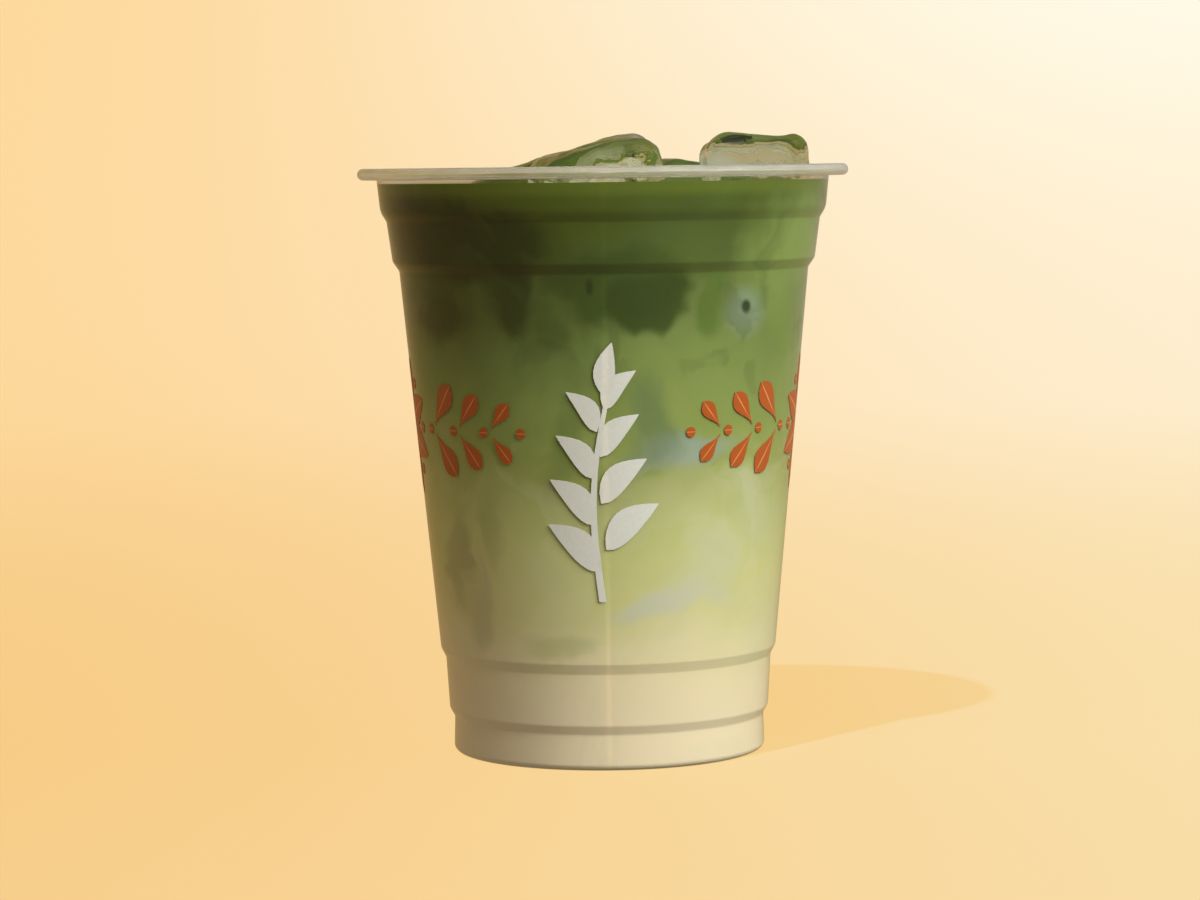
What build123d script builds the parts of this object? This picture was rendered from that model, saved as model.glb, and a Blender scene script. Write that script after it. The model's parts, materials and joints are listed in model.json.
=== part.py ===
from build123d import *

import os
from dataclasses import dataclass
from math import asin, degrees, hypot

# An iced matcha latte in a clear thermoformed takeaway cup, in millimetres.
#
# The cup stands on the plane z = 0 with its axis on Z, and the front of the drink faces -Y.
# It is one thin turned solid: a foot, two stepped bands near the bottom, a long tapered
# body, two stepped bands near the top and a rim that is rolled outwards. The drink fills it
# in three layers, milk at the bottom, a blended middle and matcha on top, and climbs the
# wall in a small meniscus. Four ice cubes float in the matcha layer, which is cut round them.

# ---- Driving dimensions --------------------------------------------------------------

# Cup
cup_height = 117.0  # from the surface it stands on to the top of the rim
mouth_radius = 45.25  # outside of the wall where the rim starts
foot_radius = 31.3  # outside of the foot at its lowest edge
wall = 0.5

# Rolled rim
rim_overhang = 3.75  # how far it stands out past the wall under it
rim_height = 2.3
curl_gap = 0.9  # clear space between the wall and the rim's turned-in edge

# Bands of the wall from the mouth down: (height, how much narrower the lower end is)
lip_band = (7.5, 0.75)
upper_shoulder = (1.9, 1.2)
collar_band = (8.0, 1.1)
lower_shoulder = (1.9, 1.3)

# Bands of the wall from the foot up: (height, how much wider the upper end is)
foot_band = (7.0, -0.2)
foot_step = (1.8, 1.0)
base_band = (10.2, 0.6)
waist_step = (2.0, 1.0)

# Underside: a ring that the cup stands on, and a floor raised inside it
ring_width = 4.2  # from the foot's outside to where the raised floor starts
floor_rise = 2.0
riser_lean = 1.6  # how far in the raised floor's edge leans

# Rounding of the cup's corners, on its outside
lip_round = 4.5
shoulder_round = 1.5
neck_round = 1.1
foot_round = 1.3
riser_round = 0.9

# Drink
free_space = 4.2  # from the drink's level up to the top of the rim
meniscus_rise = 1.2
meniscus_reach = 2.0  # how far in from the wall the drink starts to climb
milk_top = 20.5  # above the surface that the cup stands on
blend_top = 74.0  # above the same surface

# Ice
ice_room = 44.75  # inside radius of the mouth that the cubes below are laid out in
hollow_radius = 13.0  # of the ball that shapes the hollows in the cubes' faces


@dataclass
class IceCube:
    """A floating ice cube, as it lies in a mouth of ice_room.

    edges are its sizes along X, Y and Z before it is turned, and corner is the radius of
    its edges. across and back place its middle from the cup's axis, and lift is the height
    of its middle above the drink's level. turns are degrees about X, Y and Z. Each hollow
    is (the axis of a face, the side that it is on, how deep it goes in).
    """

    node: str
    edges: tuple
    corner: float
    across: float
    back: float
    lift: float
    turns: tuple
    hollows: tuple


front_ice = IceCube(
    node="ice_front",
    edges=(26.0, 24.0, 24.0),
    corner=4.5,
    across=0.4,
    back=-10.0,
    lift=-3.3,
    turns=(5, -15, 8),
    hollows=(("X", -1, 1.6), ("Z", 1, 1.2)),
)
right_ice = IceCube(
    node="ice_right",
    edges=(20.5, 19.5, 19.0),
    corner=3.8,
    across=30.5,
    back=-1.0,
    lift=0.5,
    turns=(-4, -2, 8),
    hollows=(("X", 1, 1.4), ("Z", 1, 1.0)),
)
back_left_ice = IceCube(
    node="ice_back_left",
    edges=(22.0, 21.0, 22.0),
    corner=4.0,
    across=-15.3,
    back=15.5,
    lift=-6.5,
    turns=(4, -17, -12),
    hollows=(("Z", 1, 1.4),),
)
back_right_ice = IceCube(
    node="ice_back_right",
    edges=(20.0, 20.0, 21.0),
    corner=4.0,
    across=17.0,
    back=21.5,
    lift=-5.3,
    turns=(-3, 4, 25),
    hollows=(("Z", 1, 1.5),),
)

# ---- Values that follow from them ----------------------------------------------------

level = cup_height - free_space
rim_radius = mouth_radius + rim_overhang
curl_radius = rim_height / 2
curl_middle = cup_height - curl_radius
ice_scale = (mouth_radius - wall) / ice_room


# ---- The cup's section: x is the radius and y the height -----------------------------


def wall_corners():
    """Corners of the wall's outside, from the mouth down to the foot's lowest edge."""
    down = [(mouth_radius, curl_middle)]
    for height, narrower in (lip_band, upper_shoulder, collar_band, lower_shoulder):
        radius, z = down[-1]
        down.append((radius - narrower, z - height))
    up = [(foot_radius, 0.0)]
    for height, wider in (foot_band, foot_step, base_band, waist_step):
        radius, z = up[-1]
        up.append((radius + wider, z + height))
    return down + up[::-1]


def floor_corners():
    """Corners of the underside, from the standing ring in to the axis."""
    ring_inside = foot_radius - ring_width
    return [(ring_inside, 0.0), (ring_inside - riser_lean, floor_rise), (0.0, floor_rise)]


def moved_in(corners, distance):
    """The line beside corners, at distance to its right, with its own corners mitred.

    Its first point is moved level, so that it ends at the height where the rim starts.
    """
    sides = []
    for (x0, z0), (x1, z1) in zip(corners, corners[1:]):
        run, rise = x1 - x0, z1 - z0
        length = hypot(run, rise)
        sides.append((x0 + rise / length * distance, z0 - run / length * distance, run, rise))
    moved = [(corners[0][0] - distance, corners[0][1])]
    for (ax, az, a_run, a_rise), (bx, bz, b_run, b_rise) in zip(sides, sides[1:]):
        along = ((bx - ax) * b_rise - (bz - az) * b_run) / (a_run * b_rise - a_rise * b_run)
        moved.append((ax + a_run * along, az + a_rise * along))
    last_x, last_z, last_run, last_rise = sides[-1]
    moved.append((last_x + last_run, last_z + last_rise))
    return moved


def rounds_inside(corners, rounds):
    """Radii that keep the wall's thickness at each corner: less outside a bend, more inside."""
    radii = []
    for (x0, z0), (x1, z1), (x2, z2), radius in zip(corners, corners[1:], corners[2:], rounds):
        bends_out = (x1 - x0) * (z2 - z1) < (z1 - z0) * (x2 - x1)
        radii.append(radius - wall if bends_out else radius + wall)
    return radii


def curl_edges():
    """The rolled rim's edges, from the wall's inside, over the top and back under to it."""
    inner = mouth_radius - wall
    over_wall = inner + curl_radius
    over_edge = rim_radius - curl_radius
    tip = mouth_radius + curl_gap
    underside = cup_height - rim_height
    core = curl_radius - wall
    return [
        CenterArc((over_wall, curl_middle), curl_radius, 90, 90),
        Line((over_wall, cup_height), (over_edge, cup_height)),
        CenterArc((over_edge, curl_middle), curl_radius, -90, 180),
        Polyline((over_edge, underside), (tip, underside), (tip, underside + wall),
                 (over_edge, underside + wall)),
        CenterArc((over_edge, curl_middle), core, -90, 180),
        Line((over_edge, cup_height - wall), (over_wall, cup_height - wall)),
        CenterArc((over_wall, curl_middle), core, 90, 90),
    ]


def turned(section):
    """The solid that a section makes when it is turned once round the cup's axis."""
    return revolve(Plane.XZ * section, axis=Axis.Z).solid()


outside = wall_corners() + floor_corners()
outside_rounds = [lip_round, neck_round, shoulder_round, neck_round, shoulder_round, neck_round,
                  shoulder_round, neck_round, foot_round, riser_round, riser_round]
inside = moved_in(outside, wall)
outside_line = FilletPolyline(*outside, radius=outside_rounds)
inside_line = FilletPolyline(*inside, radius=rounds_inside(outside, outside_rounds))


def make_cup():
    """The cup: its wall, floor and rolled rim, turned in one piece."""
    at_axis = Line(outside[-1], inside[-1])
    return turned(make_face([outside_line, at_axis, inside_line, *curl_edges()]))


# ---- The drink -----------------------------------------------------------------------


def inside_radius(height):
    """Radius of the wall's inside at a height in one of its straight bands."""
    for (r0, z0), (r1, z1) in zip(inside, inside[1:]):
        if z1 <= height <= z0:
            return r0 + (r1 - r0) * (height - z0) / (z1 - z0)
    raise ValueError("the drink's surface lies outside the cup")


def slab(bottom, top):
    """The part of the section between two heights, wider than the cup."""
    return Pos(0, bottom) * Rectangle(rim_radius, top - bottom, align=(Align.MIN, Align.MIN))


def air_section():
    """Section of the free space over the drink: flat, then curving up to meet the wall."""
    shore = inside_radius(level + meniscus_rise)
    start = shore - meniscus_reach
    bend = (meniscus_reach**2 + meniscus_rise**2) / (2 * meniscus_rise)
    climb = CenterArc((start, level + bend), bend, -90, degrees(asin(meniscus_reach / bend)))
    return make_face([
        Line((0, level), (start, level)),
        climb,
        Polyline(climb @ 1, (rim_radius, level + meniscus_rise), (rim_radius, cup_height),
                 (0, cup_height), (0, level)),
    ])


def make_layer(bottom, top, ice):
    """The drink between two heights, up to its surface and cut round the ice."""
    hollow = make_face([inside_line, Polyline(inside[-1], (0, curl_middle), inside[0])])
    layer = turned((hollow - air_section()) & slab(bottom, top))
    for cube in ice:
        layer -= cube
    return layer


# ---- The ice -------------------------------------------------------------------------


def make_ice(ice):
    """A block with rounded edges and shallow hollows, turned and set where it floats."""
    block = Box(*ice.edges)
    block = fillet(block.edges(), ice.corner)
    for face, side, depth in ice.hollows:
        axis = "XYZ".index(face)
        outward = Vector(*(side if i == axis else 0 for i in range(3)))
        on_face = Plane(origin=outward * (ice.edges[axis] / 2), z_dir=outward)
        block -= on_face * Pos(0, 0, hollow_radius - depth) * Sphere(hollow_radius)
    afloat = Pos(ice.across, ice.back, ice.lift) * Rot(*ice.turns) * block.solid()
    return Pos(0, 0, level) * afloat.scale(ice_scale, about=(0, 0, 0))


# ---- Build and write -----------------------------------------------------------------

ice_cubes = {
    ice.node: make_ice(ice) for ice in (front_ice, right_ice, back_left_ice, back_right_ice)
}
nodes = {
    "cup": make_cup(),
    "milk_layer": make_layer(0, milk_top, ice_cubes.values()),
    "blended_layer": make_layer(milk_top, blend_top, ice_cubes.values()),
    "matcha_layer": make_layer(blend_top, cup_height, ice_cubes.values()),
    **ice_cubes,
}

os.makedirs("parts", exist_ok=True)
for name, solid in nodes.items():
    export_step(solid, f"parts/{name}.step")
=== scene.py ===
import json
import logging
import math
from dataclasses import dataclass, field
from enum import Enum
from typing import Callable, Optional, Sequence

import bpy
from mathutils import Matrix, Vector
from mathutils.bvhtree import BVHTree

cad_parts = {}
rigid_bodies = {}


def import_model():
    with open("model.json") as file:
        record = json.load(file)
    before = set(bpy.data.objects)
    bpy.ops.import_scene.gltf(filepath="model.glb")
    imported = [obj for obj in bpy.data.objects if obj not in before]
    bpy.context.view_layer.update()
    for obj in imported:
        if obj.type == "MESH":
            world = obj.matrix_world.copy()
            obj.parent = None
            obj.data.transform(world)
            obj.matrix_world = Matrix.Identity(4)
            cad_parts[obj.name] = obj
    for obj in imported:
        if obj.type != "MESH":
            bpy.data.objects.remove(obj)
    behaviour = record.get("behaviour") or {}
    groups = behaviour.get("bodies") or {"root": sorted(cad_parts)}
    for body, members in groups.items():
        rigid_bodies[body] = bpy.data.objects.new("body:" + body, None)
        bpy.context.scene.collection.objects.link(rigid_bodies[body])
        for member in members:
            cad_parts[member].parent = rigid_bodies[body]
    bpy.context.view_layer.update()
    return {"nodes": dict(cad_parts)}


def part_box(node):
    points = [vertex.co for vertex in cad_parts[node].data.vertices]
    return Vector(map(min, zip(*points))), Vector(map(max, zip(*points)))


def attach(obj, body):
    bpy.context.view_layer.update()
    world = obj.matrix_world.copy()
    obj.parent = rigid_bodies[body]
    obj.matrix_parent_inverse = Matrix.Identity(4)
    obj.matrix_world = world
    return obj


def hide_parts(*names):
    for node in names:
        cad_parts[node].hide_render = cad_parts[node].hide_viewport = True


# Looks of an iced matcha latte in a clear takeaway cup: the moulded cup, the drink in it,
# the floating ice and the prints on the wall. Sizes are in millimetres and become metres
# where a mesh is made. The front of the drink faces -Y.

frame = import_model()

MM = 0.001
DOUBLED = 0.002 * MM  # vertices closer than this are one
CORNER_ANGLE = math.radians(50)  # edges that turn more than this stay sharp
Point = tuple[float, float]
Colour = tuple[float, float, float, float]
log = logging.getLogger("latte")


def tint(code: str) -> Colour:
    """Turns a colour written as six hex digits into the linear colour that shaders take.

    Args:
        code: red, green and blue as two hex digits each.

    Returns:
        The linear red, green and blue, with an alpha of 1.
    """
    parts = [int(code[i : i + 2], 16) / 255 for i in (0, 2, 4)]
    linear = [c / 12.92 if c <= 0.04045 else ((c + 0.055) / 1.055) ** 2.4 for c in parts]
    return (linear[0], linear[1], linear[2], 1.0)


# ---- Working with meshes -------------------------------------------------------------


def only(*objects: bpy.types.Object) -> None:
    """Selects these objects and no others, with the first one active.

    Args:
        objects: what the next operator acts on.
    """
    for other in bpy.context.view_layer.objects:
        other.select_set(False)
    for obj in objects:
        obj.select_set(True)
    bpy.context.view_layer.objects.active = objects[0]


def in_edit(obj: bpy.types.Object, *steps: Callable[[], object]) -> None:
    """Runs operators on the whole of one mesh in edit mode.

    Args:
        obj: the mesh object.
        steps: what to do, each on all of its vertices.
    """
    only(obj)
    bpy.ops.object.mode_set(mode="EDIT")
    for step in steps:
        bpy.ops.mesh.select_all(action="SELECT")
        step()
    bpy.ops.object.mode_set(mode="OBJECT")


def joined(name: str, objects: Sequence[bpy.types.Object]) -> bpy.types.Object:
    """Joins meshes into one object with this name.

    Args:
        name: the joined object's name.
        objects: the meshes, each with its place in its mesh.

    Returns:
        The joined object.
    """
    only(*objects)
    if len(objects) > 1:
        bpy.ops.object.join()
    obj = bpy.context.view_layer.objects.active
    obj.name = name
    obj.data.name = name
    return obj


def settle(obj: bpy.types.Object) -> None:
    """Moves an object's place, turn and scale into its mesh."""
    only(obj)
    bpy.ops.object.transform_apply(location=True, rotation=True, scale=True)


def apply_modifier(obj: bpy.types.Object, kind: str, **settings: object) -> None:
    """Adds one modifier, sets it and applies it.

    Args:
        obj: the mesh object.
        kind: Blender's name for the modifier's type.
        settings: its values, by their names.
    """
    only(obj)
    modifier = obj.modifiers.new(kind.title(), kind)
    for name, value in settings.items():
        setattr(modifier, name, value)
    bpy.ops.object.modifier_apply(modifier=modifier.name)


def copy_of(node: str, name: str) -> bpy.types.Object:
    """A loose copy of a node of the frame, with its doubled vertices merged.

    Args:
        node: the node's name.
        name: the copy's name.

    Returns:
        The copy, which rides on nothing yet.
    """
    only(frame["nodes"][node])
    bpy.ops.object.duplicate()
    copy = bpy.context.view_layer.objects.active
    copy.parent = None
    for key in list(copy.keys()):
        del copy[key]
    copy.name = name
    copy.data.name = name
    copy.data.materials.clear()
    in_edit(copy, lambda: bpy.ops.mesh.remove_doubles(threshold=DOUBLED))
    return copy


def turned(name: str, outline: Sequence[Point], steps: int) -> bpy.types.Object:
    """Spins an outline once round the Z axis into a closed shell.

    Args:
        name: the new object's name.
        outline: (radius, height) points in millimetres, from the axis and back to it.
        steps: how many faces there are round the axis.

    Returns:
        The shell, smooth except at sharp corners.
    """
    mesh = bpy.data.meshes.new(name)
    corners = [(radius * MM, 0.0, z * MM) for radius, z in outline]
    mesh.from_pydata(corners, [(i, i + 1) for i in range(len(corners) - 1)], [])
    obj = bpy.data.objects.new(name, mesh)
    bpy.context.scene.collection.objects.link(obj)
    in_edit(
        obj,
        lambda: bpy.ops.mesh.spin(
            steps=steps, angle=math.tau, center=(0, 0, 0), axis=(0, 0, 1)
        ),
        lambda: bpy.ops.mesh.remove_doubles(threshold=DOUBLED),
        lambda: bpy.ops.mesh.normals_make_consistent(inside=False),
    )
    only(obj)
    bpy.ops.object.shade_smooth_by_angle(angle=CORNER_ANGLE)
    return obj


def dressed(obj: bpy.types.Object, material: bpy.types.Material) -> None:
    """Gives an object one material."""
    obj.data.materials.clear()
    obj.data.materials.append(material)


# ---- Working with outlines -----------------------------------------------------------


def arc(centre: Point, radius: float, start: float, end: float, steps: int = 10) -> list[Point]:
    """Points along an arc.

    Args:
        centre: its middle.
        radius: its radius.
        start: the angle it starts at, in degrees from the first axis.
        end: the angle it ends at.
        steps: how many straight pieces stand for it.

    Returns:
        The points, both ends included.
    """
    angles = [math.radians(start + (end - start) * i / steps) for i in range(steps + 1)]
    return [(centre[0] + radius * math.cos(a), centre[1] + radius * math.sin(a)) for a in angles]


def rounded(corners: Sequence[Point], radii: Sequence[float]) -> list[Point]:
    """A line with its inner corners rounded.

    Args:
        corners: the line's corners.
        radii: one radius for each corner but the first and last.

    Returns:
        The points of the rounded line.
    """
    line = [corners[0]]
    for before, corner, after, radius in zip(corners, corners[1:], corners[2:], radii):
        here = Vector(corner)
        back = (Vector(before) - here).normalized()
        ahead = (Vector(after) - here).normalized()
        half = back.angle(ahead) / 2
        middle = here + (back + ahead).normalized() * radius / math.sin(half)
        first = here + back * radius / math.tan(half) - middle
        last = here + ahead * radius / math.tan(half) - middle
        turn = math.degrees(first.angle_signed(last))
        start = math.degrees(math.atan2(first.y, first.x))
        steps = max(3, round(abs(turn) / 7))
        line += arc((middle.x, middle.y), radius, start, start - turn, steps)
    return line + [corners[-1]]


def beside(corners: Sequence[Point], distance: float) -> list[Point]:
    """The line parallel to another one, to its right, with its corners mitred.

    Args:
        corners: the line's corners.
        distance: how far to the right the new line lies.

    Returns:
        Its corners. The first is moved level.
    """
    sides = []
    for (x0, z0), (x1, z1) in zip(corners, corners[1:]):
        run, rise = x1 - x0, z1 - z0
        length = math.hypot(run, rise)
        sides.append((x0 + rise / length * distance, z0 - run / length * distance, run, rise))
    moved = [(corners[0][0] - distance, corners[0][1])]
    for (ax, az, a_run, a_rise), (bx, bz, b_run, b_rise) in zip(sides, sides[1:]):
        along = ((bx - ax) * b_rise - (bz - az) * b_run) / (a_run * b_rise - a_rise * b_run)
        moved.append((ax + a_run * along, az + a_rise * along))
    last_x, last_z, last_run, last_rise = sides[-1]
    moved.append((last_x + last_run, last_z + last_rise))
    return moved


def height_on(corners: Sequence[Point], z: float) -> float:
    """Radius of a falling line of corners at a height.

    Args:
        corners: (radius, height) corners from the top down.
        z: the height.

    Returns:
        The radius there.
    """
    for (r0, z0), (r1, z1) in zip(corners, corners[1:]):
        if z1 <= z <= z0:
            return r0 + (r1 - r0) * (z - z0) / (z1 - z0)
    return corners[0][0]


# ---- Working with shaders ------------------------------------------------------------


class Graph:
    """A node tree, with short calls to add and join its nodes."""

    def __init__(self, tree: bpy.types.NodeTree) -> None:
        """Starts on an empty tree."""
        self.tree = tree
        tree.nodes.clear()

    def add(self, kind: str, inputs: Optional[dict] = None, **settings: object) -> bpy.types.Node:
        """Adds a node.

        Args:
            kind: Blender's type name, without ShaderNode.
            inputs: values or sockets for its inputs, by name or number.
            settings: its other properties.

        Returns:
            The node.
        """
        node = self.tree.nodes.new("ShaderNode" + kind)
        for name, value in settings.items():
            setattr(node, name, value)
        for name, value in (inputs or {}).items():
            if isinstance(value, bpy.types.NodeSocket):
                self.tree.links.new(value, node.inputs[name])
            else:
                node.inputs[name].default_value = value
        return node

    def math(self, how: str, a: object, b: object = 0.0) -> bpy.types.NodeSocket:
        """The result of a Math node."""
        return self.add("Math", {0: a, 1: b}, operation=how).outputs[0]

    def ramp(self, value: object, low: float, high: float, smooth: bool = True) -> bpy.types.NodeSocket:
        """A mask that goes from 0 at one value to 1 at another.

        Args:
            value: the socket that is measured.
            low: where the mask is 0.
            high: where the mask is 1.
            smooth: whether it eases in and out.

        Returns:
            The mask's socket.
        """
        node = self.add("MapRange", {"Value": value, "From Min": low, "From Max": high})
        node.interpolation_type = "SMOOTHSTEP" if smooth else "LINEAR"
        return node.outputs["Result"]

    def mix(self, amount: object, a: object, b: object, how: str = "MIX") -> bpy.types.NodeSocket:
        """The result of mixing two colours.

        Args:
            amount: the share of the second one, a value or a socket.
            a: the first colour.
            b: the second colour.
            how: Blender's name for the way they mix.

        Returns:
            The mixed colour's socket.
        """
        node = self.add("Mix", data_type="RGBA", blend_type=how)
        for socket, value in ((node.inputs[0], amount), (node.inputs[6], a), (node.inputs[7], b)):
            if isinstance(value, bpy.types.NodeSocket):
                self.tree.links.new(value, socket)
            else:
                socket.default_value = value
        return node.outputs[2]

    def group(self, tree: bpy.types.NodeTree, inputs: dict) -> bpy.types.Node:
        """Adds a node group with these inputs."""
        return self.add("Group", inputs, node_tree=tree)


def new_group(name: str, inputs: Sequence[tuple], outputs: Sequence[tuple]) -> bpy.types.NodeTree:
    """Makes an empty shader node group.

    Args:
        name: the group's name.
        inputs: (name, kind, value) for each input.
        outputs: (name, kind) for each output.

    Returns:
        The group's tree.
    """
    tree = bpy.data.node_groups.new(name, "ShaderNodeTree")
    for label, kind, value in inputs:
        socket = tree.interface.new_socket(label, in_out="INPUT", socket_type="NodeSocket" + kind)
        if value is not None:
            socket.default_value = value
    for label, kind in outputs:
        tree.interface.new_socket(label, in_out="OUTPUT", socket_type="NodeSocket" + kind)
    return tree


class Effects:
    """The node groups that several materials share."""

    def __init__(self) -> None:
        """Builds each group once."""
        self.swirl = self.make_swirl()
        self.patch = self.make_patch()
        self.grain = self.make_grain()

    def make_swirl(self) -> bpy.types.NodeTree:
        """Coordinates stirred by slow noise, as one liquid sinking into another stirs them.

        Returns:
            The group, with a Vector output.
        """
        tree = new_group(
            "stirred_coordinates",
            [("Vector", "Vector", None), ("Scale", "Float", 40.0), ("Reach", "Float", 0.01)],
            [("Vector", "Vector")],
        )
        graph = Graph(tree)
        given = tree.nodes.new("NodeGroupInput")
        noise = graph.add(
            "TexNoise",
            {"Vector": given.outputs["Vector"], "Scale": given.outputs["Scale"], "Detail": 3.0,
             "Roughness": 0.5, "Distortion": 0.4},
        )
        centred = graph.add(
            "VectorMath", {0: noise.outputs["Color"], 1: (0.5, 0.5, 0.5)}, operation="SUBTRACT"
        )
        pushed = graph.add(
            "VectorMath", {0: centred.outputs[0], "Scale": given.outputs["Reach"]}, operation="SCALE"
        )
        stirred = graph.add(
            "VectorMath", {0: given.outputs["Vector"], 1: pushed.outputs[0]}, operation="ADD"
        )
        result = tree.nodes.new("NodeGroupOutput")
        tree.links.new(stirred.outputs[0], result.inputs["Vector"])
        return tree

    def make_patch(self) -> bpy.types.NodeTree:
        """A soft oval mask round a place, 1 in its middle.

        Returns:
            The group, with a Mask output.
        """
        tree = new_group(
            "soft_patch",
            [("Vector", "Vector", None), ("Centre", "Vector", None), ("Size", "Vector", None),
             ("Softness", "Float", 0.5)],
            [("Mask", "Float")],
        )
        graph = Graph(tree)
        given = tree.nodes.new("NodeGroupInput")
        away = graph.add(
            "VectorMath", {0: given.outputs["Vector"], 1: given.outputs["Centre"]}, operation="SUBTRACT"
        )
        shaped = graph.add(
            "VectorMath", {0: away.outputs[0], 1: given.outputs["Size"]}, operation="DIVIDE"
        )
        far = graph.add("VectorMath", {0: shaped.outputs[0]}, operation="LENGTH")
        outer = graph.math("ADD", 1.0, given.outputs["Softness"])
        inner = graph.math("SUBTRACT", 1.0, given.outputs["Softness"])
        mask = graph.add(
            "MapRange",
            {"Value": far.outputs["Value"], "From Min": outer, "From Max": inner},
            interpolation_type="SMOOTHSTEP",
        )
        result = tree.nodes.new("NodeGroupOutput")
        tree.links.new(mask.outputs["Result"], result.inputs["Mask"])
        return tree

    def make_grain(self) -> bpy.types.NodeTree:
        """Fine uneven values round 1, for plastic, ink and wet surfaces.

        Returns:
            The group, with a Value output.
        """
        tree = new_group(
            "fine_grain",
            [("Vector", "Vector", None), ("Scale", "Float", 900.0), ("Strength", "Float", 0.1)],
            [("Value", "Float")],
        )
        graph = Graph(tree)
        given = tree.nodes.new("NodeGroupInput")
        noise = graph.add(
            "TexNoise",
            {"Vector": given.outputs["Vector"], "Scale": given.outputs["Scale"], "Detail": 4.0},
        )
        centred = graph.math("SUBTRACT", noise.outputs["Fac"], 0.5)
        spread = graph.math("MULTIPLY", centred, given.outputs["Strength"])
        value = graph.math("ADD", 1.0, spread)
        result = tree.nodes.new("NodeGroupOutput")
        tree.links.new(value, result.inputs["Value"])
        return tree


def new_material(name: str) -> tuple[bpy.types.Material, Graph, bpy.types.Node]:
    """Makes a material with an empty graph and its output node.

    Args:
        name: the material's name.

    Returns:
        The material, its graph and the output node.
    """
    material = bpy.data.materials.new(name)
    material.use_nodes = True
    graph = Graph(material.node_tree)
    return material, graph, graph.add("OutputMaterial")


def let_light_through(graph: Graph, shader: bpy.types.NodeSocket, out: bpy.types.Node) -> None:
    """Makes a clear shader pass lamp light and bounced light straight on.

    Args:
        graph: the material's graph.
        shader: the clear shader that is seen.
        out: the material's output.
    """
    path = graph.add("LightPath")
    clear = graph.add("BsdfTransparent")
    lamps = graph.add("MixShader", {0: path.outputs["Is Shadow Ray"], 1: shader, 2: clear.outputs[0]})
    bounced = graph.add(
        "MixShader", {0: path.outputs["Is Diffuse Ray"], 1: lamps.outputs[0], 2: clear.outputs[0]}
    )
    graph.tree.links.new(bounced.outputs[0], out.inputs["Surface"])


@dataclass(frozen=True)
class ClearPlastic:
    """The cup's clear, glossy plastic."""

    colour: Colour = (0.985, 0.98, 0.965, 1.0)
    roughness: float = 0.06
    bending: float = 1.42  # its index of refraction
    grain_scale: float = 260.0
    grain_strength: float = 0.5
    wave_scale: float = 90.0
    wave_strength: float = 0.08
    wave_depth: float = 0.0004

    def material(self, effects: Effects) -> bpy.types.Material:
        """Builds the material, with a faint draw of the mould in its gloss.

        Args:
            effects: the shared node groups.

        Returns:
            The material.
        """
        material, graph, out = new_material("clear_plastic")
        place = graph.add("TexCoord").outputs["Object"]
        grain = graph.group(
            effects.grain,
            {"Vector": place, "Scale": self.grain_scale, "Strength": self.grain_strength},
        )
        rough = graph.math("MULTIPLY", grain.outputs["Value"], self.roughness)
        waves = graph.add("TexNoise", {"Vector": place, "Scale": self.wave_scale, "Detail": 1.0})
        bump = graph.add(
            "Bump",
            {"Height": waves.outputs["Fac"], "Strength": self.wave_strength,
             "Distance": self.wave_depth},
        )
        shader = graph.add(
            "BsdfPrincipled",
            {"Base Color": self.colour, "Roughness": rough, "IOR": self.bending,
             "Transmission Weight": 1.0, "Normal": bump.outputs["Normal"]},
        )
        let_light_through(graph, shader.outputs[0], out)
        return material


@dataclass(frozen=True)
class MilkyPlastic:
    """The same plastic where the rolled rim is thick and stressed, which turns it milky."""

    colour: Colour = (0.84, 0.87, 0.81, 1.0)
    clear_share: float = 0.86
    roughness: float = 0.1
    bending: float = 1.45
    grain_scale: float = 160.0
    grain_strength: float = 0.35

    def material(self, effects: Effects) -> bpy.types.Material:
        """Builds the material, a little uneven along the rim.

        Args:
            effects: the shared node groups.

        Returns:
            The material.
        """
        material, graph, out = new_material("milky_plastic")
        place = graph.add("TexCoord").outputs["Object"]
        grain = graph.group(
            effects.grain,
            {"Vector": place, "Scale": self.grain_scale, "Strength": self.grain_strength},
        )
        uneven = graph.mix(1.0, self.colour, grain.outputs["Value"], "MULTIPLY")
        shader = graph.add(
            "BsdfPrincipled",
            {"Base Color": uneven, "Roughness": self.roughness, "IOR": self.bending,
             "Transmission Weight": self.clear_share},
        )
        let_light_through(graph, shader.outputs[0], out)
        return material


@dataclass(frozen=True)
class WetIce:
    """Clear ice with a wet, softly pitted skin."""

    # painted light: the green of this colour stands in for the green drink seen through the ice
    colour: Colour = (0.88, 0.97, 0.80, 1.0)
    roughness: float = 0.02
    bending: float = 1.33
    grain_scale: float = 400.0
    grain_strength: float = 0.8
    ripple_scale: float = 210.0
    ripple_strength: float = 0.22
    ripple_depth: float = 0.0012

    def material(self, effects: Effects) -> bpy.types.Material:
        """Builds the material, with melt ripples as a bump.

        Args:
            effects: the shared node groups.

        Returns:
            The material.
        """
        material, graph, out = new_material("wet_ice")
        place = graph.add("TexCoord").outputs["Object"]
        grain = graph.group(
            effects.grain,
            {"Vector": place, "Scale": self.grain_scale, "Strength": self.grain_strength},
        )
        rough = graph.math("MULTIPLY", grain.outputs["Value"], self.roughness)
        ripples = graph.add(
            "TexNoise",
            {"Vector": place, "Scale": self.ripple_scale, "Detail": 2.0, "Distortion": 0.6},
        )
        bump = graph.add(
            "Bump",
            {"Height": ripples.outputs["Fac"], "Strength": self.ripple_strength,
             "Distance": self.ripple_depth},
        )
        shader = graph.add(
            "BsdfPrincipled",
            {"Base Color": self.colour, "Roughness": rough, "IOR": self.bending,
             "Transmission Weight": 1.0, "Normal": bump.outputs["Normal"]},
        )
        let_light_through(graph, shader.outputs[0], out)
        return material


@dataclass(frozen=True)
class Cloud:
    """A soft patch of another colour in the drink, in millimetres."""

    centre: tuple[float, float, float]
    size: tuple[float, float, float]
    colour: str
    strength: float = 1.0
    softness: float = 0.5
    still: bool = False  # keeps its shape, where the others are stirred


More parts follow.
